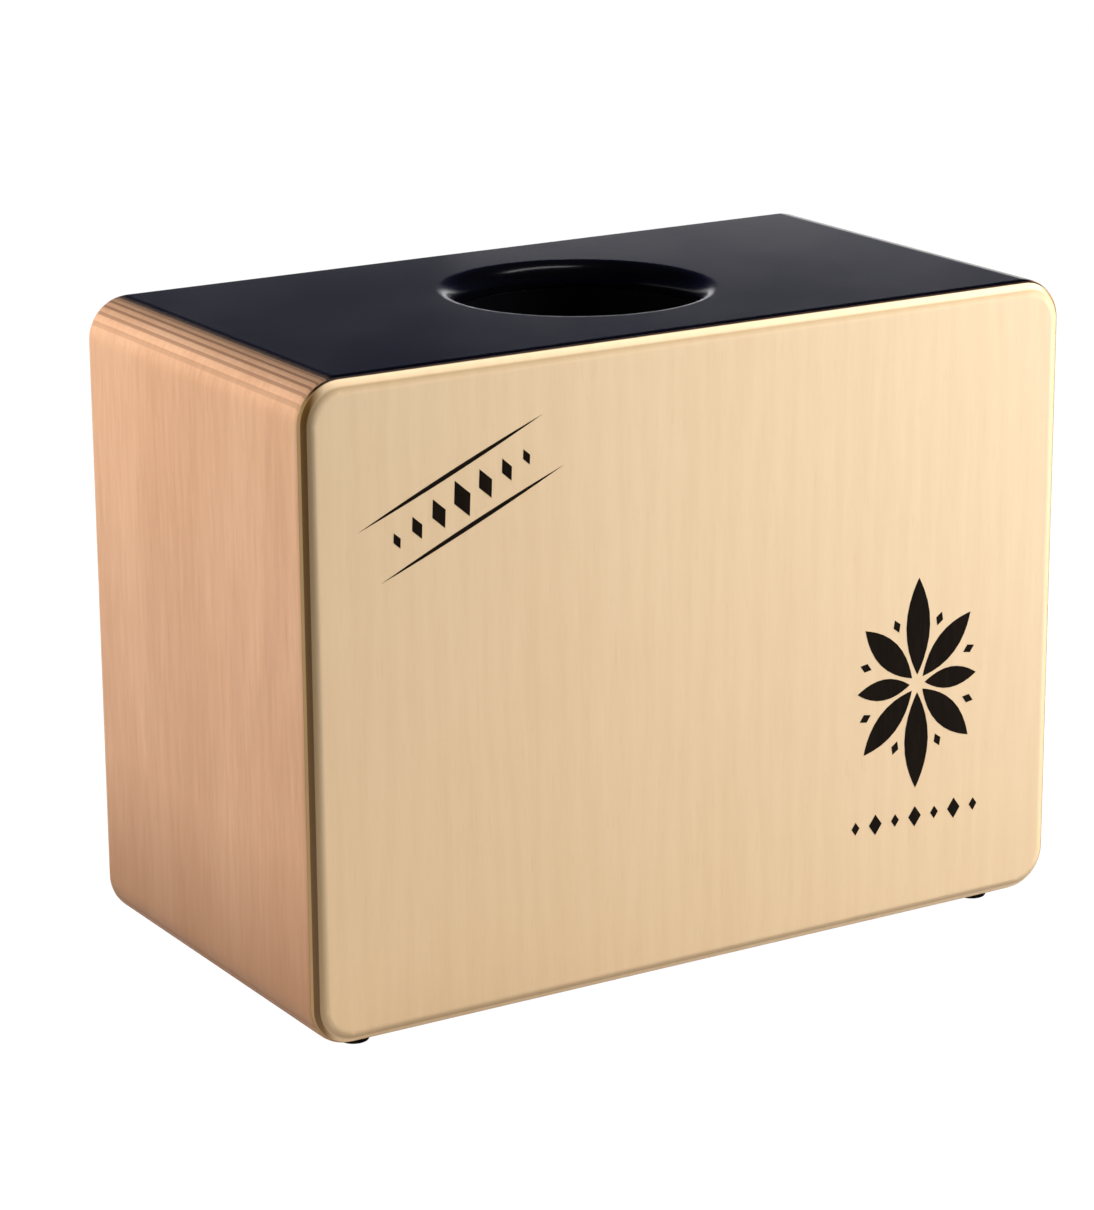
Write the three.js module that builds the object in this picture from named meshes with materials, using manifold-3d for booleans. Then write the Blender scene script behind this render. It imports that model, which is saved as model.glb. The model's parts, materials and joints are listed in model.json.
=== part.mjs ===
// A small cajon: a plywood box drum that stands on four rubber feet with its long side level.
// Units are millimetres and +Z is up. X runs along the length, -Y faces the player, and Z = 0 is the
// floor under the feet, so the origin is on the floor below the middle of the box.

import * as THREE from 'three';
import { mergeVertices } from 'three/addons/utils/BufferGeometryUtils.js';
import Module from 'manifold-3d';

const wasm = await Module();
wasm.setup();

// The box
const bodyLength = 282;
const bodyDepth = 148;
const bodyHeight = 210;
const edgeRadius = 14;          // round edges that run from front to rear
const rimRadius = 5.5;          // round edge all round the front and the rear
const plateThickness = 3.5;     // playing plate
const endThickness = 15;        // left and right panels
const deckThickness = 12;       // top and bottom panels
const rabbetDepth = 4.5;        // how far the top and bottom are let into the end panels
const rearThickness = 4;
const rearLip = 8;              // width of the frame that shows round the rear plate
const fitGap = 0.3;             // glue and running gap between fitted pieces

// Sound port in the top
const portRadius = 39;
const portLip = 7;              // radius of the rounded mouth
const tubeWall = 3;
const tubeSeat = 4;             // depth of the counterbore that holds the tube
const tubeLength = 40;

// Feet
const footHeight = 4;
const footRadius = 5.2;
const footX = 120;
const footY = 59.5;
const footScrewRadius = 1.5;
const footScrewReach = 10;      // length of screw in the bottom panel

// Snare carriages behind the playing plate
const carriageX = 62;
const barWidth = 47;
const barDepth = 8;
const barHeight = 24;
const barBottom = 60;
const padThickness = 1.2;
const padWidth = 40;
const padHeight = 11;
const stripThickness = 1;
const stripWidth = 46;
const stripHeight = 11;
const wireRadius = 1;
const wireLength = 106;
const wireCount = 8;
const wirePitch = 4.5;
const snareScrewX = 19.5;
const snareScrewRadius = 1;

// Places that several pieces share
const halfLength = bodyLength / 2;
const halfDepth = bodyDepth / 2;
const bodyBottom = footHeight;
const bodyTop = footHeight + bodyHeight;
const plateBack = -halfDepth + plateThickness;
const rearFloor = halfDepth - rearThickness;
const endInner = halfLength - endThickness;
const deckEnd = endInner + rabbetDepth;
const deckUnderside = bodyTop - deckThickness;
const floorTopside = bodyBottom + deckThickness;
const beyond = 1;               // how far a cutting solid runs past what it cuts

const arcSteps = 8;             // on the box's own round edges
const smallArcSteps = 2;        // on the corners of small boards
const rimSteps = 8;
const roundSides = 72;

const finishes = {
  playingPly: new THREE.MeshStandardMaterial({ color: 0xeed2a8, roughness: 0.45, metalness: 0 }),
  beechPly: new THREE.MeshStandardMaterial({ color: 0xd6a67c, roughness: 0.5, metalness: 0 }),
  blackLacquer: new THREE.MeshStandardMaterial({ color: 0x24242c, roughness: 0.4, metalness: 0 }),
  rearPly: new THREE.MeshStandardMaterial({ color: 0xe0c096, roughness: 0.55, metalness: 0 }),
  plastic: new THREE.MeshStandardMaterial({ color: 0x101012, roughness: 0.5, metalness: 0 }),
  rubber: new THREE.MeshStandardMaterial({ color: 0x161616, roughness: 0.85, metalness: 0 }),
  zincSteel: new THREE.MeshStandardMaterial({ color: 0xb9bcc2, roughness: 0.35, metalness: 1 }),
  snareSteel: new THREE.MeshStandardMaterial({ color: 0xcfd2d6, roughness: 0.25, metalness: 1 }),
  barBeech: new THREE.MeshStandardMaterial({ color: 0xcfa274, roughness: 0.6, metalness: 0 }),
  hookAndLoop: new THREE.MeshStandardMaterial({ color: 0x1b1b1d, roughness: 0.95, metalness: 0 }),
};

// Boolean helpers

function solidOf(geometry) {
  const bare = geometry.clone();
  bare.deleteAttribute('normal');
  bare.deleteAttribute('uv');
  const merged = mergeVertices(bare, 1e-4);
  return new wasm.Manifold(new wasm.Mesh({
    numProp: 3,
    vertProperties: Float32Array.from(merged.attributes.position.array),
    triVerts: Uint32Array.from(merged.index.array),
  }));
}

function geometryOf(solid) {
  const mesh = solid.getMesh();
  const geometry = new THREE.BufferGeometry();
  geometry.setAttribute('position', new THREE.BufferAttribute(mesh.vertProperties, mesh.numProp));
  geometry.setIndex(new THREE.BufferAttribute(mesh.triVerts, 1));
  geometry.computeVertexNormals();
  return geometry;
}

// Shape helpers

function block(x, y, z) {
  const geometry = new THREE.BoxGeometry(x[1] - x[0], y[1] - y[0], z[1] - z[0]);
  return geometry.translate((x[0] + x[1]) / 2, (y[0] + y[1]) / 2, (z[0] + z[1]) / 2);
}

function roundedRectangle(width, height, radius) {
  const x = width / 2 - radius;
  const y = height / 2 - radius;
  const shape = new THREE.Shape();
  shape.absarc(x, y, radius, 0, Math.PI / 2);
  shape.absarc(-x, y, radius, Math.PI / 2, Math.PI);
  shape.absarc(-x, -y, radius, Math.PI, 1.5 * Math.PI);
  shape.absarc(x, -y, radius, 1.5 * Math.PI, 2 * Math.PI);
  return shape;
}

// A rounded board that stands in the XZ plane, from y0 to y1, with its middle at height z.
// rim is the radius of its front and rear edges.
function uprightBoard(width, height, radius, y0, y1, z, rim = 0) {
  const geometry = new THREE.ExtrudeGeometry(roundedRectangle(width, height, radius), {
    depth: y1 - y0 - 2 * rim,
    curveSegments: radius > 2 ? arcSteps : smallArcSteps,
    bevelEnabled: rim > 0,
    bevelThickness: rim,
    bevelSize: rim,
    bevelOffset: -rim,
    bevelSegments: rim > 1 ? rimSteps : 1,
  });
  return geometry.rotateX(Math.PI / 2).translate(0, y1 - rim, z);
}

// A turned piece about the Z axis, from [radius, height] points.
function turned(points, sides) {
  const profile = points.map(([radius, height]) => new THREE.Vector2(radius, height));
  return new THREE.LatheGeometry(profile, sides).rotateX(Math.PI / 2);
}

// Points of a quarter circle about (radius, height), between two angles in degrees.
function arcPoints(radius, height, arcRadius, fromAngle, toAngle, steps) {
  const points = [];
  for (let i = 0; i <= steps; i += 1) {
    const angle = THREE.MathUtils.degToRad(fromAngle + (toAngle - fromAngle) * (i / steps));
    points.push([radius + arcRadius * Math.cos(angle), height + arcRadius * Math.sin(angle)]);
  }
  return points;
}

function named(name, geometry, material) {
  const mesh = new THREE.Mesh(geometry, material);
  mesh.name = name;
  return mesh;
}

// The box

const acrossBody = [-halfLength - beyond, halfLength + beyond];
const bodyMiddle = (bodyBottom + bodyTop) / 2;
const envelope = solidOf(
  uprightBoard(bodyLength, bodyHeight, edgeRadius, -halfDepth, halfDepth, bodyMiddle, rimRadius),
);

const rearOpeningLength = bodyLength - 2 * rearLip;
const rearOpeningHeight = bodyHeight - 2 * rearLip;
const rearCornerRadius = edgeRadius - rearLip;
const rearRebate = solidOf(uprightBoard(
  rearOpeningLength + 2 * fitGap,
  rearOpeningHeight + 2 * fitGap,
  rearCornerRadius + fitGap,
  rearFloor,
  halfDepth + beyond,
  bodyMiddle,
));

function frontPlate() {
  const slab = block(
    acrossBody,
    [-halfDepth - beyond, plateBack],
    [bodyBottom - beyond, bodyTop + beyond],
  );
  return named('front_plate', geometryOf(solidOf(slab).intersect(envelope)), finishes.playingPly);
}

function rearPlate() {
  const edgeBevel = 0.5;
  const board = uprightBoard(
    rearOpeningLength, rearOpeningHeight, rearCornerRadius, rearFloor, halfDepth, bodyMiddle, edgeBevel,
  );
  return named('rear_plate', board, finishes.rearPly);
}

// side is -1 for the left end and 1 for the right end
function endPanel(name, side) {
  const between = (a, b) => [Math.min(side * a, side * b), Math.max(side * a, side * b)];
  const depth = [plateBack, halfDepth + beyond];
  const panel = block(
    between(endInner, halfLength + beyond),
    depth,
    [bodyBottom - beyond, bodyTop + beyond],
  );
  const rabbetWidth = between(endInner - beyond, deckEnd);
  const cutDepth = [plateBack - beyond, halfDepth + beyond];
  const topRabbet = block(rabbetWidth, cutDepth, [deckUnderside, bodyTop + beyond]);
  const bottomRabbet = block(rabbetWidth, cutDepth, [bodyBottom - beyond, floorTopside]);
  const solid = solidOf(panel)
    .intersect(envelope)
    .subtract(solidOf(topRabbet))
    .subtract(solidOf(bottomRabbet))
    .subtract(rearRebate);
  return named(name, geometryOf(solid), finishes.beechPly);
}

function deck(z) {
  const board = block([-deckEnd, deckEnd], [plateBack, halfDepth + beyond], z);
  return solidOf(board).intersect(envelope).subtract(rearRebate);
}

function topPanel() {
  const mouth = arcPoints(portRadius + portLip, bodyTop - portLip, portLip, 180, 90, 8);
  const bore = turned([
    [0, deckUnderside - beyond],
    [portRadius, deckUnderside - beyond],
    ...mouth,
    [portRadius + portLip, bodyTop + beyond],
    [0, bodyTop + beyond],
  ], roundSides);
  const seatRadius = portRadius + tubeWall + fitGap;
  const seat = turned([
    [0, deckUnderside - beyond],
    [seatRadius, deckUnderside - beyond],
    [seatRadius, deckUnderside + tubeSeat],
    [0, deckUnderside + tubeSeat],
  ], roundSides);
  const solid = deck([deckUnderside, bodyTop + beyond])
    .subtract(solidOf(bore))
    .subtract(solidOf(seat));
  return named('top_panel', geometryOf(solid), finishes.blackLacquer);
}

function footPlaces() {
  const places = [];
  for (const [frontRear, y] of [['front', -footY], ['rear', footY]]) {
    for (const [leftRight, x] of [['left', -footX], ['right', footX]]) {
      places.push({ name: `${frontRear}_${leftRight}`, x, y });
    }
  }
  return places;
}

function bottomPanel() {
  const pilotRadius = footScrewRadius + fitGap;
  const pilotTop = bodyBottom + footScrewReach + fitGap;
  const pilot = turned([
    [0, bodyBottom - beyond],
    [pilotRadius, bodyBottom - beyond],
    [pilotRadius, pilotTop],
    [0, pilotTop],
  ], 16);
  let solid = deck([bodyBottom - beyond, floorTopside]);
  for (const { x, y } of footPlaces()) {
    solid = solid.subtract(solidOf(pilot.clone().translate(x, y, 0)));
  }
  return named('bottom_panel', geometryOf(solid), finishes.beechPly);
}

function portTube() {
  const outer = portRadius + tubeWall;
  const top = deckUnderside + tubeSeat - fitGap;
  const bottom = top - tubeLength;
  const endRound = tubeWall / 2;
  const profile = [
    [portRadius, top],
    ...arcPoints(portRadius + endRound, bottom + endRound, endRound, 180, 360, 6),
    [outer, top],
    [portRadius, top],
  ];
  return named('port_tube', turned(profile, roundSides), finishes.plastic);
}

// Feet and their screws

const footRecessRadius = 2.9;
const footRecess = 2;
const screwHeadRadius = 2.5;
const screwHeadHeight = 1.2;

function foot(place) {
  const baseRadius = footRadius - 0.5;
  const baseRound = 0.8;
  const holeRadius = footScrewRadius + fitGap;
  const profile = [
    [footRecessRadius, 0],
    ...arcPoints(baseRadius - baseRound, baseRound, baseRound, -90, 0, 4),
    [footRadius, footHeight],
    [holeRadius, footHeight],
    [holeRadius, footRecess],
    [footRecessRadius, footRecess],
    [footRecessRadius, 0],
  ];
  const mesh = named(`foot_${place.name}`, turned(profile, 20), finishes.rubber);
  mesh.position.set(place.x, place.y, 0);
  return mesh;
}

function footScrew(place) {
  const underHead = footRecess - fitGap;
  const headEdge = 0.4;
  const tip = bodyBottom + footScrewReach;
  const tipLength = 3;
  const profile = [
    [0, underHead - screwHeadHeight],
    [screwHeadRadius - headEdge, underHead - screwHeadHeight],
    [screwHeadRadius, underHead - screwHeadHeight + headEdge],
    [screwHeadRadius, underHead],
    [footScrewRadius, underHead],
    [footScrewRadius, tip - tipLength],
    [0, tip],
  ];
  const mesh = named(`foot_screw_${place.name}`, turned(profile, 16), finishes.zincSteel);
  mesh.position.set(place.x, place.y, 0);
  return mesh;
}

// Snare carriages. Each is drawn about x = 0 and then moved to its side.

const barFront = plateBack + 2 * padThickness;
const barTop = barBottom + barHeight;
const stripBottom = barTop - stripHeight;
const screwHeight = barTop - stripHeight / 2;

function pad(name, y0) {
  const middle = barBottom + 0.5 + padHeight / 2;
  const board = uprightBoard(padWidth, padHeight, 2, y0, y0 + padThickness, middle);
  return named(name, board, finishes.hookAndLoop);
}

// A hole or shank along Y at each screw of a carriage
function screwBores(radius, y0, y1) {
  const bore = new THREE.CylinderGeometry(radius, radius, y1 - y0, 12);
  const middle = (y0 + y1) / 2;
  return [-snareScrewX, snareScrewX].map((x) => solidOf(bore.clone().translate(x, middle, screwHeight)));
}

function snareBar(name) {
  const screwDepth = 6.5;
  const board = uprightBoard(barWidth, barHeight, 2, barFront, barFront + barDepth, (barBottom + barTop) / 2);
  const step = block(
    [-barWidth, barWidth],
    [barFront - beyond, barFront + stripThickness],
    [stripBottom - fitGap, barTop + beyond],
  );
  let solid = solidOf(board).subtract(solidOf(step));
  for (const bore of screwBores(snareScrewRadius + fitGap, barFront - beyond, barFront + screwDepth)) {
    solid = solid.subtract(bore);
  }
  return named(name, geometryOf(solid), finishes.barBeech);
}

function snareStrip(name) {
  const middle = (stripBottom + barTop) / 2;
  let solid = solidOf(
    uprightBoard(stripWidth, stripHeight, 1, barFront, barFront + stripThickness, middle),
  );
  const through = [barFront - beyond, barFront + stripThickness + beyond];
  for (const bore of screwBores(snareScrewRadius + fitGap, ...through)) {
    solid = solid.subtract(bore);
  }
  return named(name, geometryOf(solid), finishes.snareSteel);
}

function snareScrew(name, x) {
  const headRadius = 2.2;
  const headHeight = 1;
  const reach = 6;
  const profile = [
    [0, 0],
    [snareScrewRadius, 1.5],
    [snareScrewRadius, reach],
    [headRadius, reach],
    [headRadius - 0.5, reach + headHeight],
    [0, reach + headHeight],
  ];
  const screw = turned(profile, 12).rotateX(Math.PI / 2);
  const mesh = named(name, screw, finishes.zincSteel);
  mesh.position.set(x, barFront + reach, screwHeight);
  return mesh;
}

function snareWires(side) {
  const gap = padThickness - wireRadius;
  const bottom = stripBottom + 2;
  const wire = new THREE.CylinderGeometry(wireRadius, wireRadius, wireLength, 8).rotateX(Math.PI / 2);
  const meshes = [];
  for (let i = 0; i < wireCount; i += 1) {
    const mesh = named(`snare_wire_${side}_${i + 1}`, wire, finishes.snareSteel);
    const x = (i - (wireCount - 1) / 2) * wirePitch;
    mesh.position.set(x, plateBack + gap + wireRadius, bottom + wireLength / 2);
    meshes.push(mesh);
  }
  return meshes;
}

function snareCarriage(side) {
  const carriage = new THREE.Group();
  carriage.add(
    snareBar(`snare_bar_${side}`),
    snareStrip(`snare_strip_${side}`),
    snareScrew(`snare_screw_${side}_outer`, side === 'left' ? -snareScrewX : snareScrewX),
    snareScrew(`snare_screw_${side}_inner`, side === 'left' ? snareScrewX : -snareScrewX),
    pad(`hook_pad_${side}`, plateBack + padThickness),
    ...snareWires(side),
  );
  return carriage;
}

// The whole cajon

const cajon = new THREE.Group();
cajon.add(
  frontPlate(),
  rearPlate(),
  endPanel('left_end_panel', -1),
  endPanel('right_end_panel', 1),
  topPanel(),
  bottomPanel(),
  portTube(),
);
for (const place of footPlaces()) {
  cajon.add(foot(place), footScrew(place));
}
for (const [side, x] of [['left', -carriageX], ['right', carriageX]]) {
  const station = new THREE.Group();
  station.position.x = x;
  station.add(pad(`loop_pad_${side}`, plateBack), snareCarriage(side));
  cajon.add(station);
}

export default cajon;
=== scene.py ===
"""A small cajon in its real materials: lacquered plywood, a black top, rubber feet and steel snares.

Lengths are in metres in the frame's own axes: X runs along the drum, -Y is the playing side, +Z is up.
"""

import json
import math

import bmesh
import bpy
from mathutils import Matrix, Vector

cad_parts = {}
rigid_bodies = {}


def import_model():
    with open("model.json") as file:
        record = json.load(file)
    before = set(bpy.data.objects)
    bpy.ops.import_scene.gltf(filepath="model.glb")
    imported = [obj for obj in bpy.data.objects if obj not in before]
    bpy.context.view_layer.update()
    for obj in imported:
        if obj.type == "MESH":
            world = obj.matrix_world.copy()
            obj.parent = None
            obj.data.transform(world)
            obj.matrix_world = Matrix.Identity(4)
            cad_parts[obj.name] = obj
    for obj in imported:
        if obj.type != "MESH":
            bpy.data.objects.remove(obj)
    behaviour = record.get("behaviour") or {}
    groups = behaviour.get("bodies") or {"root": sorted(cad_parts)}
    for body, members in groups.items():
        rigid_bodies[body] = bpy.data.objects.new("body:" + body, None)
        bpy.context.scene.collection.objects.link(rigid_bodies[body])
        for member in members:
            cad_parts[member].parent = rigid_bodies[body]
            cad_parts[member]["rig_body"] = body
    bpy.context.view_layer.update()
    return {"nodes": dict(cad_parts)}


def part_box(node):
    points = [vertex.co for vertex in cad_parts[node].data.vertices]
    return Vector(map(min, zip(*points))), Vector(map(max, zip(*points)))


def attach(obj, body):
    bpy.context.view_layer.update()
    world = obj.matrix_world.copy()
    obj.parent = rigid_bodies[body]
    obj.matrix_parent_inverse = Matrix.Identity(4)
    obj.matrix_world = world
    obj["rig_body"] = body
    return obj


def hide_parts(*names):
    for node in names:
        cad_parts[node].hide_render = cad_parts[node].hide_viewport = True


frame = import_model()

MM = 0.001
FULL_TURN = 2 * math.pi

# Places read from the frame
plate_low, plate_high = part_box("front_plate")
end_low, end_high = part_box("left_end_panel")
top_low, top_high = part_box("top_panel")
bottom_low, bottom_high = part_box("bottom_panel")
PLATE_FRONT = plate_low.y
PLATE_THICKNESS = plate_high.y - plate_low.y
HALF_LENGTH = -end_low.x
HALF_TOP = top_high.x
BODY_MIDDLE = Vector((0, 0, (bottom_low.z + top_high.z) / 2))
HALF_HEIGHT = top_high.z - BODY_MIDDLE.z

# Plywood
FACE_PLY = 0.9 * MM                 # outer veneers of the playing plate
END_PLY_PITCH = 2.1 * MM            # a dark and a pale ply of the end panels together
FIRST_END_PLY = 1.5 * MM
REAR_FACE_PLY = 1.0 * MM            # outer veneers of the rear board
BOTTOM_PLY_PITCH = 2.4 * MM         # a dark and a pale ply of the bottom board together

# Snare wires
COIL_RADIUS = 0.75 * MM
COIL_WIRE_RADIUS = 0.24 * MM
COIL_PITCH = 1.15 * MM
WIRES_PER_SNARE = 8

# Screws
FOOT_SCREW_RADIUS = 1.5 * MM
FOOT_SCREW_HEAD_HEIGHT = 1.2 * MM
SNARE_SCREW_RADIUS = 1.0 * MM
SNARE_SCREW_HEAD_HEIGHT = 1.0 * MM

# Ornaments
INK_THICKNESS = 0.04 * MM
PETALS = 8

# Mesh work
WELD_DISTANCE = 0.002 * MM
FLAT_ANGLE = 0.5                    # degrees: faces closer than this are one flat face
SHARP_ANGLE = 35                    # degrees: edges keener than this stay sharp


# Camera, lights and stage

def make_camera():
    azimuth = math.radians(-31.472)
    elevation = math.radians(16.207)
    roll = math.radians(-0.369)
    distance = 1.33106
    side_step = -0.01035
    rise = -0.00197
    back = Vector((
        math.sin(azimuth) * math.cos(elevation),
        -math.cos(azimuth) * math.cos(elevation),
        math.sin(elevation),
    ))
    right = Vector((0, 0, 1)).cross(back).normalized()
    up = back.cross(right)
    turned_right = right * math.cos(roll) + up * math.sin(roll)
    turned_up = up * math.cos(roll) - right * math.sin(roll)
    data = bpy.data.cameras.new("camera")
    data.sensor_width = 36
    data.lens = 119.87
    data.clip_start = 0.05
    data.clip_end = 30
    camera = bpy.data.objects.new("camera", data)
    bpy.context.scene.collection.objects.link(camera)
    turn = Matrix((turned_right, turned_up, back)).transposed()
    camera.matrix_world = turn.to_4x4()
    camera.location = BODY_MIDDLE + back * distance + turned_right * side_step + turned_up * rise
    bpy.context.scene.camera = camera


def area_light(name, place, size, power, glossy=True):
    data = bpy.data.lights.new(name, "AREA")
    data.shape = "RECTANGLE"
    data.size, data.size_y = size
    data.energy = power
    light = bpy.data.objects.new(name, data)
    bpy.context.scene.collection.objects.link(light)
    light.location = place
    light.rotation_euler = (BODY_MIDDLE - Vector(place)).to_track_quat("-Z", "Y").to_euler()
    light.visible_glossy = glossy
    light.visible_camera = False


def make_lights():
    """A soft key from the right, fills on the other sides, and two lights that draw the gloss."""
    area_light("key_right", (0.78, -0.45, 0.8), (0.45, 0.45), 25.5, glossy=False)
    area_light("fill_left", (-0.6, 0.32, 0.68), (0.3, 0.3), 6.2, glossy=False)
    area_light("fill_behind", (-0.35, 1.15, 0.7), (0.6, 0.6), 3.2, glossy=False)
    area_light("overhead", (0.32, -0.08, 1.2), (0.12, 0.6), 1.2)
    area_light("strip_behind", (0.5, 0.55, 0.26), (0.4, 0.12), 0.08)
    area_light("under_floor", (0.0, 0.0, -1.0), (0.6, 0.6), 4, glossy=False)
    world = bpy.data.worlds.new("studio")
    world.use_nodes = True
    tree = world.node_tree
    background = tree.nodes["Background"]
    background.inputs["Strength"].default_value = 1.0
    direction = parts_of(tree, add(tree, "TexCoord").outputs["Generated"])
    rightward = remapped(tree, direction["X"], -0.9, 0.9)
    soft = mixed(tree, rightward, (0.07, 0.07, 0.075, 1), (0.11, 0.11, 0.11, 1))
    low = remapped(tree, direction["Z"], 0.16, 0.09)
    horizon = maths(tree, "MULTIPLY", low, remapped(tree, direction["Y"], 0.0, 0.5))
    high = remapped(tree, direction["Z"], 0.3, 0.6)
    overcast = mixed(tree, high, (0.016, 0.018, 0.05, 1), (0.004, 0.004, 0.01, 1))
    dim = mixed(tree, horizon, overcast, (0.85, 0.85, 0.88, 1))
    mirrored = add(tree, "LightPath").outputs["Is Glossy Ray"]
    put(tree, background.inputs["Color"], mixed(tree, mirrored, soft, dim))
    bpy.context.scene.world = world
    bpy.context.scene.view_settings.view_transform = "Standard"


def make_floor():
    """A white sweep that glows to the camera. It is clear from below and to the light under it."""
    bm = bmesh.new()
    bmesh.ops.create_grid(bm, x_segments=1, y_segments=1, size=8)
    floor = object_from(bm, "floor")
    material, shader = new_material("pale_floor", roughness=0.9, specular=0.0)
    shader.inputs["Base Color"].default_value = (0.43, 0.43, 0.43, 1)
    tree = material.node_tree
    glow = add(tree, "Emission", {"Color": (1, 1, 1, 1), "Strength": 1.12})
    seen = maths(tree, "MULTIPLY", add(tree, "LightPath").outputs["Is Camera Ray"], 0.9)
    sweep = add(tree, "MixShader", {0: seen, 1: shader.outputs[0], 2: glow.outputs[0]}).outputs[0]
    underneath = add(tree, "NewGeometry").outputs["Backfacing"]
    passes = maths(tree, "MAXIMUM", underneath, add(tree, "LightPath").outputs["Is Shadow Ray"])
    clear = add(tree, "BsdfTransparent").outputs[0]
    one_sided = add(tree, "MixShader", {0: passes, 1: sweep, 2: clear}).outputs[0]
    tree.links.new(one_sided, tree.nodes["Material Output"].inputs["Surface"])
    floor.data.materials.append(material)


# Shader helpers

def srgb(red, green, blue):
    """A colour picker's 0-255 values as a linear colour."""
    def linear(value):
        share = value / 255
        return share / 12.92 if share <= 0.04045 else ((share + 0.055) / 1.055) ** 2.4
    return (linear(red), linear(green), linear(blue), 1)


def put(tree, socket, value):
    if isinstance(value, bpy.types.NodeSocket):
        tree.links.new(value, socket)
    else:
        socket.default_value = value


def add(tree, kind, inputs=None, **settings):
    node = tree.nodes.new("ShaderNode" + kind)
    for name, value in settings.items():
        setattr(node, name, value)
    for socket, value in (inputs or {}).items():
        put(tree, node.inputs[socket], value)
    return node


def maths(tree, operation, *values):
    return add(tree, "Math", dict(enumerate(values)), operation=operation).outputs[0]


def remapped(tree, value, low, high, to_low=0.0, to_high=1.0):
    return add(tree, "MapRange", {0: value, 1: low, 2: high, 3: to_low, 4: to_high}).outputs[0]


def mixed(tree, share, first, second, blend="MIX"):
    node = add(tree, "Mix", {0: share, 6: first, 7: second}, data_type="RGBA", blend_type=blend)
    return node.outputs[2]


def stretched(tree, place, scale, turn=(0, 0, 0)):
    return add(tree, "Mapping", {"Vector": place, "Scale": scale, "Rotation": turn}).outputs[0]


def turned_to_x(tree, place):
    """Turns the wood figure so that its grain runs along X."""
    return stretched(tree, place, (1, 1, 1), turn=(0, math.pi / 2, 0))


def noise(tree, place, scale, detail=2.0, roughness=0.5):
    inputs = {"Vector": place, "Scale": scale, "Detail": detail, "Roughness": roughness}
    return add(tree, "TexNoise", inputs).outputs["Fac"]


def bumped(tree, height, distance, strength=1.0):
    inputs = {"Height": height, "Distance": distance, "Strength": strength}
    return add(tree, "Bump", inputs).outputs["Normal"]


def new_material(name, roughness=0.5, metallic=0.0, specular=0.5):
    material = bpy.data.materials.new(name)
    material.use_nodes = True
    shader = material.node_tree.nodes["Principled BSDF"]
    shader.inputs["Roughness"].default_value = roughness
    shader.inputs["Metallic"].default_value = metallic
    shader.inputs["Specular IOR Level"].default_value = specular
    return material, shader


def new_group(name, inputs, outputs):
    """A node group with named sockets: (tree, its inputs by name, its outputs by name)."""
    group = bpy.data.node_groups.new(name, "ShaderNodeTree")
    for socket, kind in inputs.items():
        group.interface.new_socket(socket, in_out="INPUT", socket_type="NodeSocket" + kind)
    for socket, kind in outputs.items():
        group.interface.new_socket(socket, in_out="OUTPUT", socket_type="NodeSocket" + kind)
    given = group.nodes.new("NodeGroupInput").outputs
    result = group.nodes.new("NodeGroupOutput").inputs
    return group, given, result


def use_group(tree, group, inputs):
    node = add(tree, "Group", node_tree=group)
    for socket, value in inputs.items():
        put(tree, node.inputs[socket], value)
    return node.outputs


# Shared effects

def make_wood_figure():
    """Fine streaks, fibres, clouds and flecks of close-grained wood whose grain runs along Z."""
    tree, given, result = new_group(
        "wood_figure",
        {"Place": "Vector", "Pale": "Color", "Dark": "Color", "Contrast": "Float", "Flecks": "Float"},
        {"Colour": "Color", "Fibres": "Float"},
    )
    place = given["Place"]
    streaks = noise(tree, stretched(tree, place, (1, 1, 0.09)), 430, 3, 0.6)
    fibres = noise(tree, stretched(tree, place, (1, 1, 0.03)), 2600, 1)
    clouds = noise(tree, stretched(tree, place, (1, 1, 0.3)), 26, 2)
    rings = add(
        tree, "TexWave",
        {"Vector": stretched(tree, place, (1, 1, 0.16)), "Scale": 34, "Distortion": 7, "Detail": 2,
         "Detail Scale": 1.4},
        bands_direction="X",
    ).outputs["Fac"]
    figure = maths(tree, "MULTIPLY", streaks, 0.42)
    for layer, weight in ((fibres, 0.16), (clouds, 0.30), (rings, 0.12)):
        figure = maths(tree, "MULTIPLY_ADD", layer, weight, figure)
    spread = remapped(tree, figure, 0.36, 0.64)
    colour = mixed(tree, maths(tree, "MULTIPLY", spread, given["Contrast"]), given["Pale"], given["Dark"])
    dashes = noise(tree, stretched(tree, place, (1, 1, 0.11)), 1000, 0)
    marks = maths(tree, "MULTIPLY", remapped(tree, dashes, 0.68, 0.80), given["Flecks"])
    deep = mixed(tree, 1.0, given["Dark"], srgb(190, 170, 150), blend="MULTIPLY")
    tree.links.new(mixed(tree, marks, colour, deep), result["Colour"])
    tree.links.new(fibres, result["Fibres"])
    return tree


def make_handling():
    """Faint smudges and dust: one mask for gloss and one for dust on faces that look up."""
    tree, given, result = new_group(
        "handling", {"Place": "Vector", "Facing": "Vector"}, {"Smudge": "Float", "Dust": "Float"},
    )
    broad = noise(tree, given["Place"], 22, 3, 0.6)
    specks = noise(tree, given["Place"], 1500, 2, 0.7)
    up = add(tree, "SeparateXYZ", {0: given["Facing"]}).outputs["Z"]
    dust = maths(tree, "MULTIPLY", remapped(tree, specks, 0.60, 0.72), remapped(tree, up, 0.3, 1.0))
    smudge = add(tree, "MapRange", {0: broad, 1: 0.3, 2: 0.72}, interpolation_type="SMOOTHSTEP").outputs[0]
    tree.links.new(smudge, result["Smudge"])
    tree.links.new(maths(tree, "MULTIPLY", dust, remapped(tree, broad, 0.3, 0.7)), result["Dust"])
    return tree


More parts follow.
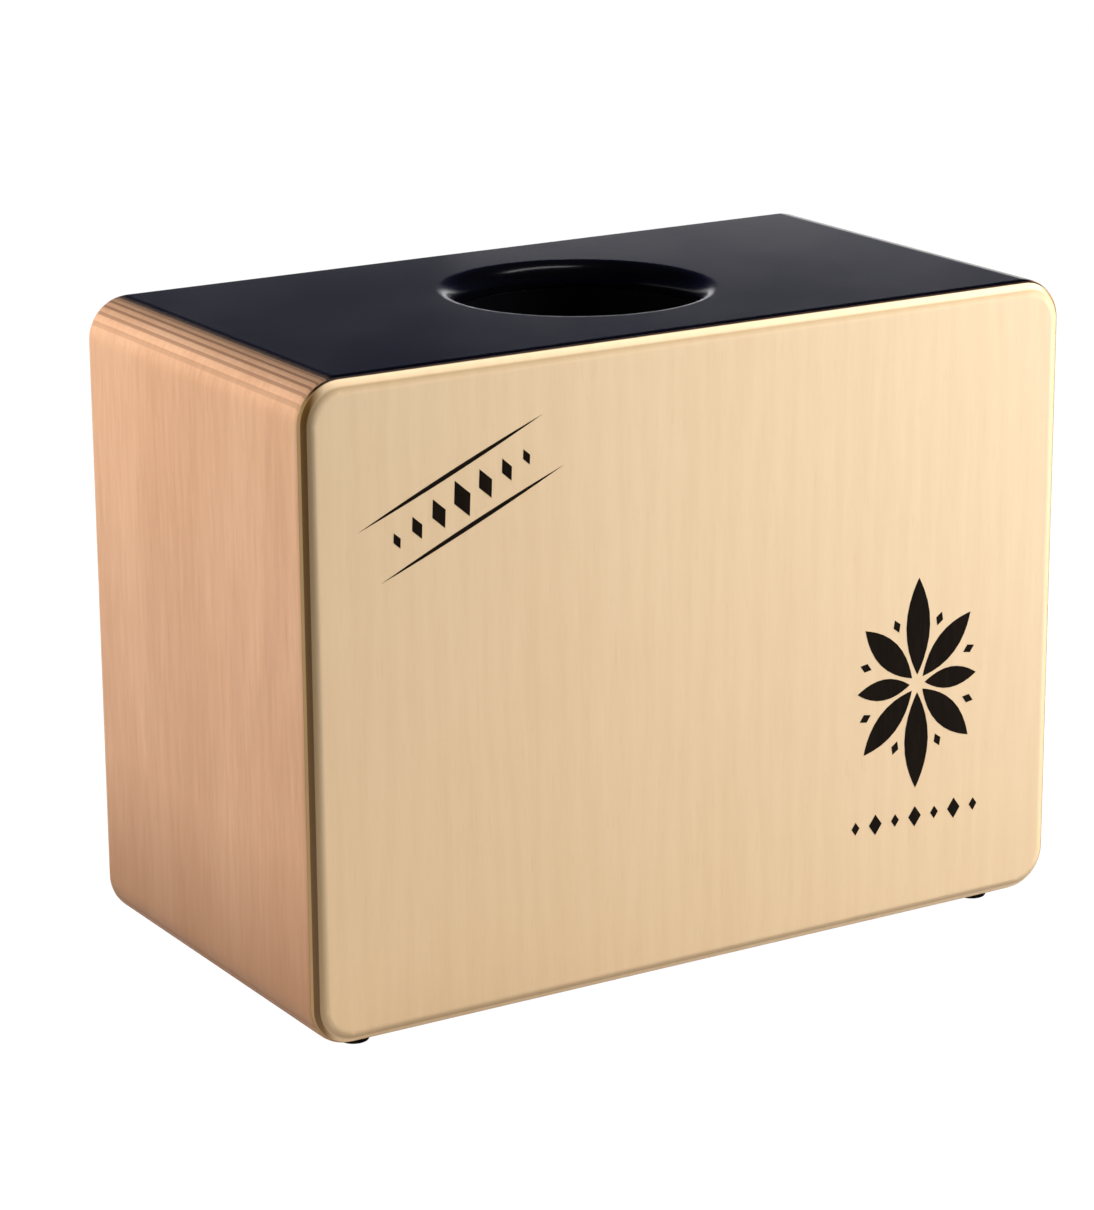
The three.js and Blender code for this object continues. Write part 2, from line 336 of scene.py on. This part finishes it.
def make_end_grain():
    """How far a cut edge shows end grain: the share of the normal that lies along the fibres of its ply."""
    tree, given, result = new_group(
        "end_grain",
        {"Facing": "Vector", "Cross Ply": "Float", "Fibres": "Vector", "Cross Fibres": "Vector"},
        {"Share": "Float"},
    )
    along = add(tree, "VectorMath", {0: given["Facing"], 1: given["Fibres"]}, operation="DOT_PRODUCT")
    across = add(tree, "VectorMath", {0: given["Facing"], 1: given["Cross Fibres"]}, operation="DOT_PRODUCT")
    along = maths(tree, "ABSOLUTE", along.outputs["Value"])
    across = maths(tree, "ABSOLUTE", across.outputs["Value"])
    share = add(tree, "Mix", {0: given["Cross Ply"], 2: along, 3: across}).outputs[0]
    tree.links.new(share, result["Share"])
    return tree


wood_figure = make_wood_figure()
handling = make_handling()
end_grain = make_end_grain()


def object_place(tree):
    return add(tree, "TexCoord").outputs["Object"]


def facing(tree):
    return add(tree, "TexCoord").outputs["Normal"]


def parts_of(tree, vector):
    return add(tree, "SeparateXYZ", {0: vector}).outputs


def between(tree, value, low, high, soft):
    """1 where value lies between low and high, with edges this soft."""
    rises = remapped(tree, value, low - soft, low + soft)
    falls = remapped(tree, value, high - soft, high + soft, 1.0, 0.0)
    return maths(tree, "MULTIPLY", rises, falls)


# Materials

def playing_ply():
    """Three plies of maple under satin lacquer, with painted light that makes it lighter at the upper right
    and warmer at the lower left, and a core of darker wood.
    """
    material, shader = new_material("maple_playing_ply", roughness=0.38, specular=0.45)
    tree = material.node_tree
    place = object_place(tree)
    axes = parts_of(tree, place)
    height = maths(tree, "SUBTRACT", axes["Z"], BODY_MIDDLE.z)
    # Painted light: the maple turns lighter and less saturated towards the upper right, where the key light
    # falls.
    upper_right = maths(tree, "MULTIPLY_ADD", height, HALF_LENGTH / HALF_HEIGHT, axes["X"])
    painted_light = remapped(tree, upper_right, -2 * HALF_LENGTH, 2 * HALF_LENGTH)
    wood = use_group(tree, wood_figure, {
        "Place": place, "Pale": mixed(tree, painted_light, srgb(228, 195, 152), srgb(228, 205, 171)),
        "Dark": mixed(tree, painted_light, srgb(211, 173, 126), srgb(211, 182, 142)),
        "Contrast": 0.28, "Flecks": 0.05,
    })
    depth = maths(tree, "SUBTRACT", axes["Y"], PLATE_FRONT)
    core = between(tree, depth, FACE_PLY, PLATE_THICKNESS - FACE_PLY, 0.25 * MM)
    share = use_group(tree, end_grain, {
        "Facing": facing(tree), "Cross Ply": core, "Fibres": (0, 0, 1), "Cross Fibres": (1, 0, 0),
    })["Share"]
    pores = noise(tree, place, 5200, 2, 0.7)
    end_wood = mixed(tree, remapped(tree, pores, 0.3, 0.7), srgb(150, 106, 48), srgb(112, 76, 30))
    # The rounds that face sideways take a gold tone: partly a warm tone of the lacquered rim, partly painted
    # light that stands in for light from the left front.
    sideways = maths(tree, "ABSOLUTE", parts_of(tree, facing(tree))["X"])
    gold_tone_and_painted_light = mixed(tree, remapped(tree, sideways, 0.25, 0.6, 0.0, 0.8), wood["Colour"], srgb(210, 168, 96))
    # Rounds that face up or down are toned down: partly the end grain of the face veneer, partly painted
    # shade that dims the key light on the top edge.
    end_grain_and_painted_shade = mixed(tree, remapped(tree, share, 0.12, 0.62, 0.0, 0.85), gold_tone_and_painted_light, srgb(156, 125, 83))
    browned = remapped(tree, maths(tree, "MULTIPLY_ADD", core, 0.30, share), 0.60, 0.88)
    colour = mixed(tree, browned, mixed(tree, core, end_grain_and_painted_shade, wood["Colour"]), end_wood)
    up = remapped(tree, parts_of(tree, facing(tree))["Z"], 0.5, 0.7)
    lacquer_from, lacquer_full = 2.55 * MM, 2.85 * MM
    overlap = maths(tree, "MULTIPLY", remapped(tree, depth, lacquer_from, lacquer_full), up)
    colour = mixed(tree, overlap, colour, srgb(34, 24, 20))
    marks = use_group(tree, handling, {"Place": place, "Facing": facing(tree)})
    put(tree, shader.inputs["Base Color"], colour)
    put(tree, shader.inputs["Roughness"], remapped(tree, marks["Smudge"], 0.0, 1.0, 0.33, 0.42))
    put(tree, shader.inputs["Normal"], bumped(tree, wood["Fibres"], 0.03 * MM, 0.35))
    return material


def beech_end_ply():
    """Beech multi-ply under satin lacquer, with long grain and end grain in turn on its round edges."""
    material, shader = new_material("beech_end_ply", roughness=0.42, specular=0.4)
    tree = material.node_tree
    place = object_place(tree)
    wood = use_group(tree, wood_figure, {
        "Place": place, "Pale": srgb(240, 188, 147), "Dark": srgb(214, 158, 118), "Contrast": 0.66,
        "Flecks": 0.08,
    })
    axes = parts_of(tree, place)
    depth = maths(tree, "SUBTRACT", HALF_LENGTH, maths(tree, "ABSOLUTE", axes["X"]))
    phase = maths(tree, "DIVIDE", maths(tree, "SUBTRACT", depth, FIRST_END_PLY), END_PLY_PITCH / FULL_TURN)
    cross_ply = remapped(tree, maths(tree, "COSINE", phase), 0.55, 0.0)
    facing_out = facing(tree)
    share = use_group(tree, end_grain, {
        "Facing": facing_out, "Cross Ply": cross_ply, "Fibres": (0, 0, 1), "Cross Fibres": (0, 1, 0),
    })["Share"]
    pores = noise(tree, place, 4200, 2, 0.7)
    end_wood = mixed(tree, remapped(tree, pores, 0.3, 0.7), srgb(176, 128, 96), srgb(140, 98, 70))
    colour = mixed(tree, remapped(tree, share, 0.22, 0.9), wood["Colour"], end_wood)
    # Wood that faces up turns darker towards the black top.
    up = maths(tree, "MAXIMUM", parts_of(tree, facing_out)["Z"], 0.0)
    darken_from, darken_full = 1.8 * MM, 9.5 * MM
    near_top = remapped(tree, depth, darken_from, darken_full)
    darkened_top = maths(tree, "MULTIPLY", near_top, remapped(tree, up, 0.3, 0.7, 0.0, 0.85))
    colour = mixed(tree, darkened_top, colour, srgb(98, 78, 62))
    # Painted shade: the end panels turn darker towards the floor.
    shade_starts_at, shade_full_at = 64 * MM, 14 * MM
    painted_shade_low = remapped(tree, axes["Z"], shade_starts_at, shade_full_at, 0.0, 0.52)
    colour = mixed(tree, painted_shade_low, colour, srgb(160, 108, 70))
    marks = use_group(tree, handling, {"Place": place, "Facing": facing_out})
    put(tree, shader.inputs["Base Color"], colour)
    put(tree, shader.inputs["Roughness"], remapped(tree, marks["Smudge"], 0.0, 1.0, 0.38, 0.48))
    put(tree, shader.inputs["Normal"], bumped(tree, wood["Fibres"], 0.04 * MM, 0.4))
    return material


def rear_ply():
    material, shader = new_material("birch_rear_ply", roughness=0.45, specular=0.4)
    tree = material.node_tree
    place = object_place(tree)
    wood = use_group(tree, wood_figure, {
        "Place": stretched(tree, place, (0.7, 0.7, 0.7)), "Pale": srgb(238, 212, 170),
        "Dark": srgb(212, 178, 134), "Contrast": 0.7, "Flecks": 0.1,
    })
    rear_low, rear_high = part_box("rear_plate")
    depth = maths(tree, "SUBTRACT", rear_high.y, parts_of(tree, place)["Y"])
    core = between(tree, depth, REAR_FACE_PLY, rear_high.y - rear_low.y - REAR_FACE_PLY, 0.06 * MM)
    share = use_group(tree, end_grain, {
        "Facing": facing(tree), "Cross Ply": core, "Fibres": (0, 0, 1), "Cross Fibres": (1, 0, 0),
    })["Share"]
    colour = mixed(tree, remapped(tree, share, 0.4, 0.9), wood["Colour"], srgb(128, 88, 50))
    marks = use_group(tree, handling, {"Place": place, "Facing": facing(tree)})
    put(tree, shader.inputs["Base Color"], colour)
    put(tree, shader.inputs["Roughness"], remapped(tree, marks["Smudge"], 0.0, 1.0, 0.4, 0.5))
    put(tree, shader.inputs["Normal"], bumped(tree, wood["Fibres"], 0.05 * MM, 0.45))
    return material


def black_lacquer():
    """Black satin lacquer: the grain under it telegraphs faintly, and it thins out over the panel's ends."""
    material, shader = new_material("black_lacquer", roughness=0.25, specular=0.35)
    tree = material.node_tree
    place = object_place(tree)
    along_x = turned_to_x(tree, place)
    wood = use_group(tree, wood_figure, {
        "Place": along_x, "Pale": srgb(4, 4, 6), "Dark": srgb(2, 2, 4), "Contrast": 1.0, "Flecks": 0.0,
    })
    across = maths(tree, "ABSOLUTE", parts_of(tree, place)["X"])
    ragged = maths(tree, "MULTIPLY_ADD", noise(tree, place, 700, 2), 1.6 * MM, across)
    thin = remapped(tree, ragged, HALF_TOP - 1.2 * MM, HALF_TOP + 1.2 * MM)
    colour = mixed(tree, maths(tree, "MULTIPLY", thin, 0.7), wood["Colour"], srgb(92, 78, 66))
    marks = use_group(tree, handling, {"Place": place, "Facing": facing(tree)})
    colour = mixed(tree, maths(tree, "MULTIPLY", marks["Dust"], 0.02), colour, srgb(120, 120, 125))
    put(tree, shader.inputs["Base Color"], colour)
    put(tree, shader.inputs["Roughness"], remapped(tree, marks["Smudge"], 0.0, 1.0, 0.17, 0.20))
    put(tree, shader.inputs["Normal"], bumped(tree, wood["Fibres"], 0.01 * MM, 0.3))
    return material


def bottom_ply():
    material, shader = new_material("matt_bottom_ply", roughness=0.6, specular=0.3)
    tree = material.node_tree
    place = object_place(tree)
    along_x = turned_to_x(tree, place)
    wood = use_group(tree, wood_figure, {
        "Place": along_x, "Pale": srgb(214, 170, 128), "Dark": srgb(176, 130, 90),
        "Contrast": 0.9, "Flecks": 0.5,
    })
    depth = maths(tree, "SUBTRACT", parts_of(tree, place)["Z"], bottom_low.z)
    phase = maths(tree, "DIVIDE", depth, BOTTOM_PLY_PITCH / FULL_TURN)
    cross_ply = remapped(tree, maths(tree, "COSINE", phase), 0.2, -0.2)
    share = use_group(tree, end_grain, {
        "Facing": facing(tree), "Cross Ply": cross_ply, "Fibres": (1, 0, 0), "Cross Fibres": (0, 1, 0),
    })["Share"]
    colour = mixed(tree, remapped(tree, share, 0.3, 0.9), wood["Colour"], srgb(132, 92, 62))
    put(tree, shader.inputs["Base Color"], colour)
    put(tree, shader.inputs["Normal"], bumped(tree, wood["Fibres"], 0.05 * MM, 0.5))
    return material


def port_plastic():
    material, shader = new_material("port_plastic", roughness=0.42, specular=0.25)
    tree = material.node_tree
    place = object_place(tree)
    grain = noise(tree, place, 2400, 3, 0.7)
    marks = use_group(tree, handling, {"Place": place, "Facing": facing(tree)})
    colour = mixed(tree, remapped(tree, grain, 0.3, 0.7), srgb(3, 3, 4), srgb(6, 6, 7))
    put(tree, shader.inputs["Base Color"], colour)
    put(tree, shader.inputs["Roughness"], remapped(tree, marks["Smudge"], 0.0, 1.0, 0.38, 0.5))
    put(tree, shader.inputs["Normal"], bumped(tree, grain, 0.04 * MM, 0.6))
    return material


def foot_rubber():
    material, shader = new_material("foot_rubber", roughness=0.8, specular=0.3)
    tree = material.node_tree
    place = object_place(tree)
    grain = noise(tree, place, 3200, 3, 0.7)
    scuffs = noise(tree, place, 420, 3, 0.6)
    low = remapped(tree, parts_of(tree, place)["Z"], 0.0, 1.2 * MM, 1.0, 0.0)
    worn = maths(tree, "MULTIPLY", remapped(tree, scuffs, 0.45, 0.7), low)
    colour = mixed(tree, maths(tree, "MULTIPLY", worn, 0.6), srgb(20, 20, 21), srgb(74, 72, 69))
    put(tree, shader.inputs["Base Color"], colour)
    put(tree, shader.inputs["Normal"], bumped(tree, grain, 0.05 * MM, 0.6))
    return material


def plated_steel(name, pale, dark, roughness):
    material, shader = new_material(name, roughness=roughness, metallic=1.0)
    tree = material.node_tree
    place = object_place(tree)
    tarnish = noise(tree, place, 900, 3, 0.6)
    scratches = noise(tree, stretched(tree, place, (1, 0.2, 1)), 5000, 1)
    put(tree, shader.inputs["Base Color"], mixed(tree, remapped(tree, tarnish, 0.35, 0.7), pale, dark))
    gloss = remapped(tree, scratches, 0.3, 0.7, roughness - 0.06, roughness + 0.1)
    put(tree, shader.inputs["Roughness"], gloss)
    put(tree, shader.inputs["Normal"], bumped(tree, scratches, 0.01 * MM, 0.3))
    return material


def bar_beech():
    material, shader = new_material("raw_beech_bar", roughness=0.62, specular=0.3)
    tree = material.node_tree
    place = object_place(tree)
    along_x = turned_to_x(tree, place)
    wood = use_group(tree, wood_figure, {
        "Place": along_x, "Pale": srgb(224, 182, 140), "Dark": srgb(190, 144, 104),
        "Contrast": 1.0, "Flecks": 0.9,
    })
    end = remapped(tree, maths(tree, "ABSOLUTE", parts_of(tree, facing(tree))["X"]), 0.4, 0.9)
    put(tree, shader.inputs["Base Color"], mixed(tree, end, wood["Colour"], srgb(150, 108, 74)))
    put(tree, shader.inputs["Normal"], bumped(tree, wood["Fibres"], 0.08 * MM, 0.6))
    return material


def hook_and_loop():
    material, shader = new_material("hook_and_loop_tape", roughness=0.95, specular=0.2)
    shader.inputs["Sheen Weight"].default_value = 0.4
    tree = material.node_tree
    place = object_place(tree)
    loops = add(tree, "TexVoronoi", {"Vector": place, "Scale": 1700}).outputs["Distance"]
    fuzz = noise(tree, place, 3500, 3, 0.8)
    height = maths(tree, "ADD", loops, fuzz)
    colour = mixed(tree, remapped(tree, fuzz, 0.3, 0.7), srgb(18, 18, 20), srgb(44, 44, 47))
    put(tree, shader.inputs["Base Color"], colour)
    put(tree, shader.inputs["Normal"], bumped(tree, height, 0.25 * MM, 0.8))
    return material


def ornament_stain():
    """Dark brown stain, duller than the lacquer round it."""
    material, shader = new_material("ornament_stain", roughness=0.5, specular=0.08)
    tree = material.node_tree
    place = object_place(tree)
    patchy = noise(tree, stretched(tree, place, (1, 1, 0.08)), 700, 3, 0.6)
    colour = mixed(tree, remapped(tree, patchy, 0.35, 0.75), srgb(14, 8, 3), srgb(26, 16, 8))
    put(tree, shader.inputs["Base Color"], colour)
    put(tree, shader.inputs["Normal"], bumped(tree, patchy, 0.02 * MM, 0.3))
    return material


# Mesh helpers

def object_from(bm, name):
    mesh = bpy.data.meshes.new(name)
    bm.to_mesh(mesh)
    bm.free()
    piece = bpy.data.objects.new(name, mesh)
    bpy.context.scene.collection.objects.link(piece)
    return piece


def finished(bm, name, material, sharp_angle=SHARP_ANGLE):
    """The mesh as a smooth-shaded object with this material."""
    piece = object_from(bm, name)
    piece.data.shade_smooth()
    piece.data.set_sharp_from_angle(angle=math.radians(sharp_angle))
    weighted = piece.modifiers.new("even_shading", "WEIGHTED_NORMAL")
    weighted.keep_sharp = True
    piece.data.materials.append(material)
    return piece


def stands_for(piece, node):
    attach(piece, frame["nodes"][node]["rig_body"])
    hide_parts(node)


def middle_of(node):
    low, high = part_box(node)
    return (low + high) / 2


def broken_edges(bm, offset):
    """Bevels every sharp edge."""
    least = math.radians(SHARP_ANGLE)
    sharp = [edge for edge in bm.edges if edge.is_manifold and edge.calc_face_angle() > least]
    bmesh.ops.bevel(
        bm, geom=sharp, offset=offset, affect="EDGES", segments=2, profile=0.5, material=-1,
        clamp_overlap=True,
    )


def welded_copy(node):
    """A part's mesh with its loose triangles joined, and one face for each flat side."""
    bm = bmesh.new()
    bm.from_mesh(frame["nodes"][node].data)
    bmesh.ops.remove_doubles(bm, verts=bm.verts, dist=WELD_DISTANCE)
    bmesh.ops.dissolve_limit(
        bm, angle_limit=math.radians(FLAT_ANGLE), verts=bm.verts, edges=bm.edges,
        use_dissolve_boundaries=False,
    )
    return bm


def worked_copy(node, name, material, arris=0.15 * MM):
    """A part with its sharp edges broken by a small arris."""
    bm = welded_copy(node)
    broken_edges(bm, arris)
    stands_for(finished(bm, name, material), node)


def spun(bm, outline, steps):
    """Turns an outline of (radius, height) points about Z. A closed outline repeats its first point."""
    verts = [bm.verts.new((radius, 0, height)) for radius, height in outline]
    edges = [bm.edges.new(pair) for pair in zip(verts, verts[1:])]
    bmesh.ops.spin(
        bm, geom=verts + edges, cent=(0, 0, 0), axis=(0, 0, 1), angle=FULL_TURN, steps=steps, use_merge=True,
    )
    bmesh.ops.remove_doubles(bm, verts=bm.verts, dist=WELD_DISTANCE)
    bmesh.ops.recalc_face_normals(bm, faces=bm.faces)


def helix(bm, profile, turns, steps_per_turn, rise_per_turn):
    """Winds a closed profile of (radius, height) points up round Z, with both ends capped."""
    verts = [bm.verts.new((radius, 0, height)) for radius, height in profile]
    first = bm.faces.new(verts)
    steps = round(turns * steps_per_turn)
    bmesh.ops.spin(
        bm, geom=[first, *first.edges, *first.verts], cent=(0, 0, 0), axis=(0, 0, 1),
        dvec=(0, 0, rise_per_turn / steps_per_turn), angle=FULL_TURN * turns, steps=steps,
    )


def moved(bm, place, turn=Matrix()):
    bmesh.ops.transform(bm, matrix=Matrix.Translation(place) @ turn, verts=bm.verts)


def under(node):
    """The middle of a part's underside."""
    middle = middle_of(node)
    return (middle.x, middle.y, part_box(node)[0].z)


# Ornaments on the playing plate

def leaf(bm, across, height, half_width, half_length, tilt=0.0, sides=24, tapered=True):
    """A flat pointed leaf on the playing face. Its length runs up the drum, turned clockwise by tilt."""
    made = bmesh.ops.create_circle(bm, cap_ends=True, radius=1, segments=sides)
    for vert in made["verts"]:
        taper = abs(vert.co.x) if tapered else 1.0
        vert.co.x *= half_width * taper
        vert.co.y *= half_length
    stand = Matrix.Rotation(tilt, 4, "Y") @ Matrix.Rotation(math.pi / 2, 4, "X")
    place = Matrix.Translation((across, PLATE_FRONT - INK_THICKNESS, height))
    bmesh.ops.transform(bm, matrix=place @ stand, verts=made["verts"])


def lozenge(bm, across, height, half_width, half_length, tilt=0.0):
    leaf(bm, across, height, half_width, half_length, tilt, sides=4, tapered=False)


def inked(bm, name, material):
    """Gives flat shapes the thickness of a stain film, and fixes them to the plate."""
    grown = bmesh.ops.extrude_face_region(bm, geom=bm.faces[:])["geom"]
    backs = [part for part in grown if isinstance(part, bmesh.types.BMVert)]
    bmesh.ops.translate(bm, verts=backs, vec=(0, INK_THICKNESS - 0.01 * MM, 0))
    bmesh.ops.recalc_face_normals(bm, faces=bm.faces)
    piece = finished(bm, name, material)
    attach(piece, "box")


def slanted_band(material):
    """A row of lozenges between two tapered lines, rising to the right."""
    bm = bmesh.new()
    centre = Vector((-87 * MM, BODY_MIDDLE.z + 63 * MM))
    rise = math.radians(23.4)
    pitch = 9.2 * MM
    line_offset = 9.2 * MM
    along = Vector((math.cos(rise), math.sin(rise)))
    across = Vector((-math.sin(rise), math.cos(rise)))
    for step in range(-3, 4):
        size = 1 - 0.19 * abs(step)
        spot = centre + along * (step * pitch * (1 - 0.035 * abs(step)))
        lozenge(bm, spot.x, spot.y, 3.1 * MM * size, 6.4 * MM * size, -rise)
    for side in (-1, 1):
        spot = centre + across * (side * line_offset)
        leaf(bm, spot.x, spot.y, 0.75 * MM, 35 * MM, math.pi / 2 - rise, sides=32)
    inked(bm, "slanted_band", material)


def petal_rosette(material):
    """Pointed petals with a seed between each two, and a row of seeds below."""
    bm = bmesh.new()
    middle = Vector((84.5 * MM, BODY_MIDDLE.z - 24 * MM))
    open_heart = 3.0 * MM
    seed_ring = 22.5 * MM
    row_pitch = 8 * MM
    row_drop = 46 * MM
    for petal in range(PETALS):
        turn = petal * FULL_TURN / PETALS
        upright = abs(math.cos(turn))
        half_length = (10.5 + 6.0 * upright ** 2) * MM
        reach = half_length + open_heart
        spot = middle + Vector((math.sin(turn), math.cos(turn))) * reach
        leaf(bm, spot.x, spot.y, (3.6 + 1.2 * upright) * MM, half_length, turn)
    for seed in range(PETALS):
        turn = (seed + 0.5) * FULL_TURN / PETALS
        spot = middle + Vector((math.sin(turn), math.cos(turn))) * seed_ring
        lozenge(bm, spot.x, spot.y, 1.5 * MM, 2.4 * MM, turn)
    for seed in range(-3, 4):
        size = 1.0 if seed % 2 == 0 else 0.62
        spot = (middle.x + seed * row_pitch, middle.y - row_drop)
        lozenge(bm, *spot, 2.6 * MM * size, 3.6 * MM * size)
    inked(bm, "petal_rosette", material)


# Feet and fasteners

def rubber_foot(node, name, material):
    """A moulded bumper with a grooved tread and a recess for its screw."""
    low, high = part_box(node)
    radius = (high.x - low.x) / 2
    height = high.z - low.z
    bore = 1.8 * MM
    recess_radius = 2.9 * MM
    recess = 2.0 * MM
    groove = 0.25 * MM
    rounding = 0.25 * MM
    outline = [
        (bore, height), (radius - rounding, height), (radius, height - rounding), (radius, 0.72 * height),
        (0.97 * radius, 0.3 * height), (0.945 * radius, 0.14 * height), (0.9 * radius, 0.045 * height),
        (0.84 * radius, 0), (0.80 * radius, 0), (0.78 * radius, groove), (0.72 * radius, groove),
        (0.70 * radius, 0), (0.62 * radius, 0), (recess_radius + 0.1 * MM, 0.12 * MM),
        (recess_radius, 0.4 * MM), (recess_radius, recess), (bore, recess), (bore, height),
    ]
    bm = bmesh.new()
    spun(bm, outline, 48)
    moved(bm, under(node))
    stands_for(finished(bm, name, material, 50), node)


def extended(bm, edges, radius, height):
    """Extrudes a ring of edges to a new radius and height. The radius may be a function of the angle."""
    grown = bmesh.ops.extrude_edge_only(bm, edges=edges)["geom"]
    verts = {part for part in grown if isinstance(part, bmesh.types.BMVert)}
    for vert in verts:
        angle = math.atan2(vert.co.y, vert.co.x)
        reach = radius(angle) if callable(radius) else radius
        vert.co = (reach * math.cos(angle), reach * math.sin(angle), height)
    return [part for part in grown if isinstance(part, bmesh.types.BMEdge) and verts.issuperset(part.verts)]


def cross_recess(reach, half_width):
    """The outline of a cross-head recess as a radius for each angle."""
    def radius(angle):
        quarter = math.pi / 2
        off_arm = abs((angle + quarter / 2) % quarter - quarter / 2)
        return min(reach, half_width / max(math.sin(off_arm), 0.01))
    return radius


def cross_head_screw(head_radius, head_height, shaft_radius, length):
    """A pan-head screw, its head's face at the origin and its point up, with a rolled thread."""
    core = 0.76 * shaft_radius
    thread_pitch = 0.8 * shaft_radius
    tip = 2 * shaft_radius
    arm = 0.6 * head_radius
    half_width = 0.13 * head_radius
    bm = bmesh.new()
    floor = bmesh.ops.create_circle(bm, cap_ends=True, segments=32, radius=0.07 * head_radius)
    bmesh.ops.translate(bm, verts=floor["verts"], vec=(0, 0, 0.75 * head_height))
    ring = list({edge for vert in floor["verts"] for edge in vert.link_edges})
    stations = [
        (cross_recess(0.5 * arm, 0.7 * half_width), 0.7 * head_height),
        (cross_recess(arm, half_width), 0.04 * head_height),
        (0.68 * head_radius, 0),
        (0.86 * head_radius, 0.1 * head_height),
        (0.96 * head_radius, 0.32 * head_height),
        (head_radius, 0.65 * head_height),
        (0.98 * head_radius, head_height),
        (core, head_height),
        (core, length - tip),
        (0.12 * core, length),
    ]
    for radius, height in stations:
        ring = extended(bm, ring, radius, height)
    bmesh.ops.contextual_create(bm, geom=ring)
    turns = (length - tip - head_height) / thread_pitch - 1
    ridge = [
        (0.96 * core, head_height), (shaft_radius, head_height + 0.3 * thread_pitch),
        (0.96 * core, head_height + 0.6 * thread_pitch),
    ]
    helix(bm, ridge, turns, 16, thread_pitch)
    bmesh.ops.recalc_face_normals(bm, faces=bm.faces)
    return bm


def foot_screw(node, name, material):
    low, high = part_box(node)
    bm = cross_head_screw(
        (high.x - low.x) / 2, FOOT_SCREW_HEAD_HEIGHT, FOOT_SCREW_RADIUS, high.z - low.z,
    )
    moved(bm, under(node))
    stands_for(finished(bm, name, material), node)


def snare_screw(node, name, material):
    low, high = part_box(node)
    bm = cross_head_screw(
        (high.x - low.x) / 2, SNARE_SCREW_HEAD_HEIGHT, SNARE_SCREW_RADIUS, high.y - low.y,
    )
    middle = middle_of(node)
    moved(bm, (middle.x, low.y, middle.z), Matrix.Rotation(-math.pi / 2, 4, "X"))
    stands_for(finished(bm, name, material), node)


# Snares

def wound_coil(length):
    """The mesh of one close-wound wire that stands on the origin. All the wires are copies of it."""
    turns = (length - 2 * COIL_WIRE_RADIUS) / COIL_PITCH
    profile = [
        (COIL_RADIUS + COIL_WIRE_RADIUS * math.cos(corner * FULL_TURN / 5),
         COIL_WIRE_RADIUS * (1 + math.sin(corner * FULL_TURN / 5)))
        for corner in range(5)
    ]
    bm = bmesh.new()
    helix(bm, profile, turns, 8, COIL_PITCH)
    bmesh.ops.recalc_face_normals(bm, faces=bm.faces)
    coil = bpy.data.meshes.new("wound_coil")
    bm.to_mesh(coil)
    bm.free()
    return coil


def snare_wire(node, name, coil, material):
    bm = bmesh.new()
    bm.from_mesh(coil)
    moved(bm, under(node))
    stands_for(finished(bm, name, material, 80), node)


def snare_strip(node, name, wires, material):
    """The steel strip of a snare carriage, with a bead of solder at each wire."""
    arris = 0.08 * MM
    bm = welded_copy(node)
    broken_edges(bm, arris)
    low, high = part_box(node)
    bead = Matrix.Diagonal((1.5 * MM, 0.55 * MM, 2.6 * MM, 1))
    for wire in wires:
        centre = Vector((middle_of(wire).x, low.y, low.z + 0.55 * (high.z - low.z)))
        shape = Matrix.Translation(centre) @ bead
        bmesh.ops.create_uvsphere(bm, u_segments=14, v_segments=8, radius=1, matrix=shape)
    stands_for(finished(bm, name, material), node)


make_camera()
make_lights()
make_floor()

playing = playing_ply()
beech = beech_end_ply()
lacquer = black_lacquer()
worked_copy("front_plate", "playing_plate", playing)
worked_copy("rear_plate", "rear_board", rear_ply())
worked_copy("left_end_panel", "left_end", beech)
worked_copy("right_end_panel", "right_end", beech)
worked_copy("top_panel", "black_top", lacquer)
worked_copy("bottom_panel", "bottom_board", bottom_ply())
worked_copy("port_tube", "port_liner", port_plastic())

stain = ornament_stain()
slanted_band(stain)
petal_rosette(stain)

rubber = foot_rubber()
zinc = plated_steel("zinc_plated_steel", srgb(205, 207, 212), srgb(170, 172, 176), 0.32)
spring_steel = plated_steel("drawn_spring_steel", srgb(214, 216, 220), srgb(176, 176, 178), 0.24)
bar_wood = bar_beech()
tape = hook_and_loop()

for end in ("front", "rear"):
    for side in ("left", "right"):
        rubber_foot(f"foot_{end}_{side}", f"rubber_foot_{end}_{side}", rubber)
        foot_screw(f"foot_screw_{end}_{side}", f"steel_foot_screw_{end}_{side}", zinc)

wire_low, wire_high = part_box("snare_wire_left_1")
coil = wound_coil(wire_high.z - wire_low.z)
for side in ("left", "right"):
    wires = [f"snare_wire_{side}_{number}" for number in range(1, WIRES_PER_SNARE + 1)]
    for number, wire in enumerate(wires, start=1):
        snare_wire(wire, f"coiled_wire_{side}_{number}", coil, spring_steel)
    snare_strip(f"snare_strip_{side}", f"soldered_strip_{side}", wires, spring_steel)
    for place in ("outer", "inner"):
        snare_screw(f"snare_screw_{side}_{place}", f"strip_screw_{side}_{place}", zinc)
    worked_copy(f"snare_bar_{side}", f"beech_bar_{side}", bar_wood, arris=0.5 * MM)
    worked_copy(f"hook_pad_{side}", f"hook_tape_{side}", tape, arris=0.12 * MM)
    worked_copy(f"loop_pad_{side}", f"loop_tape_{side}", tape, arris=0.12 * MM)
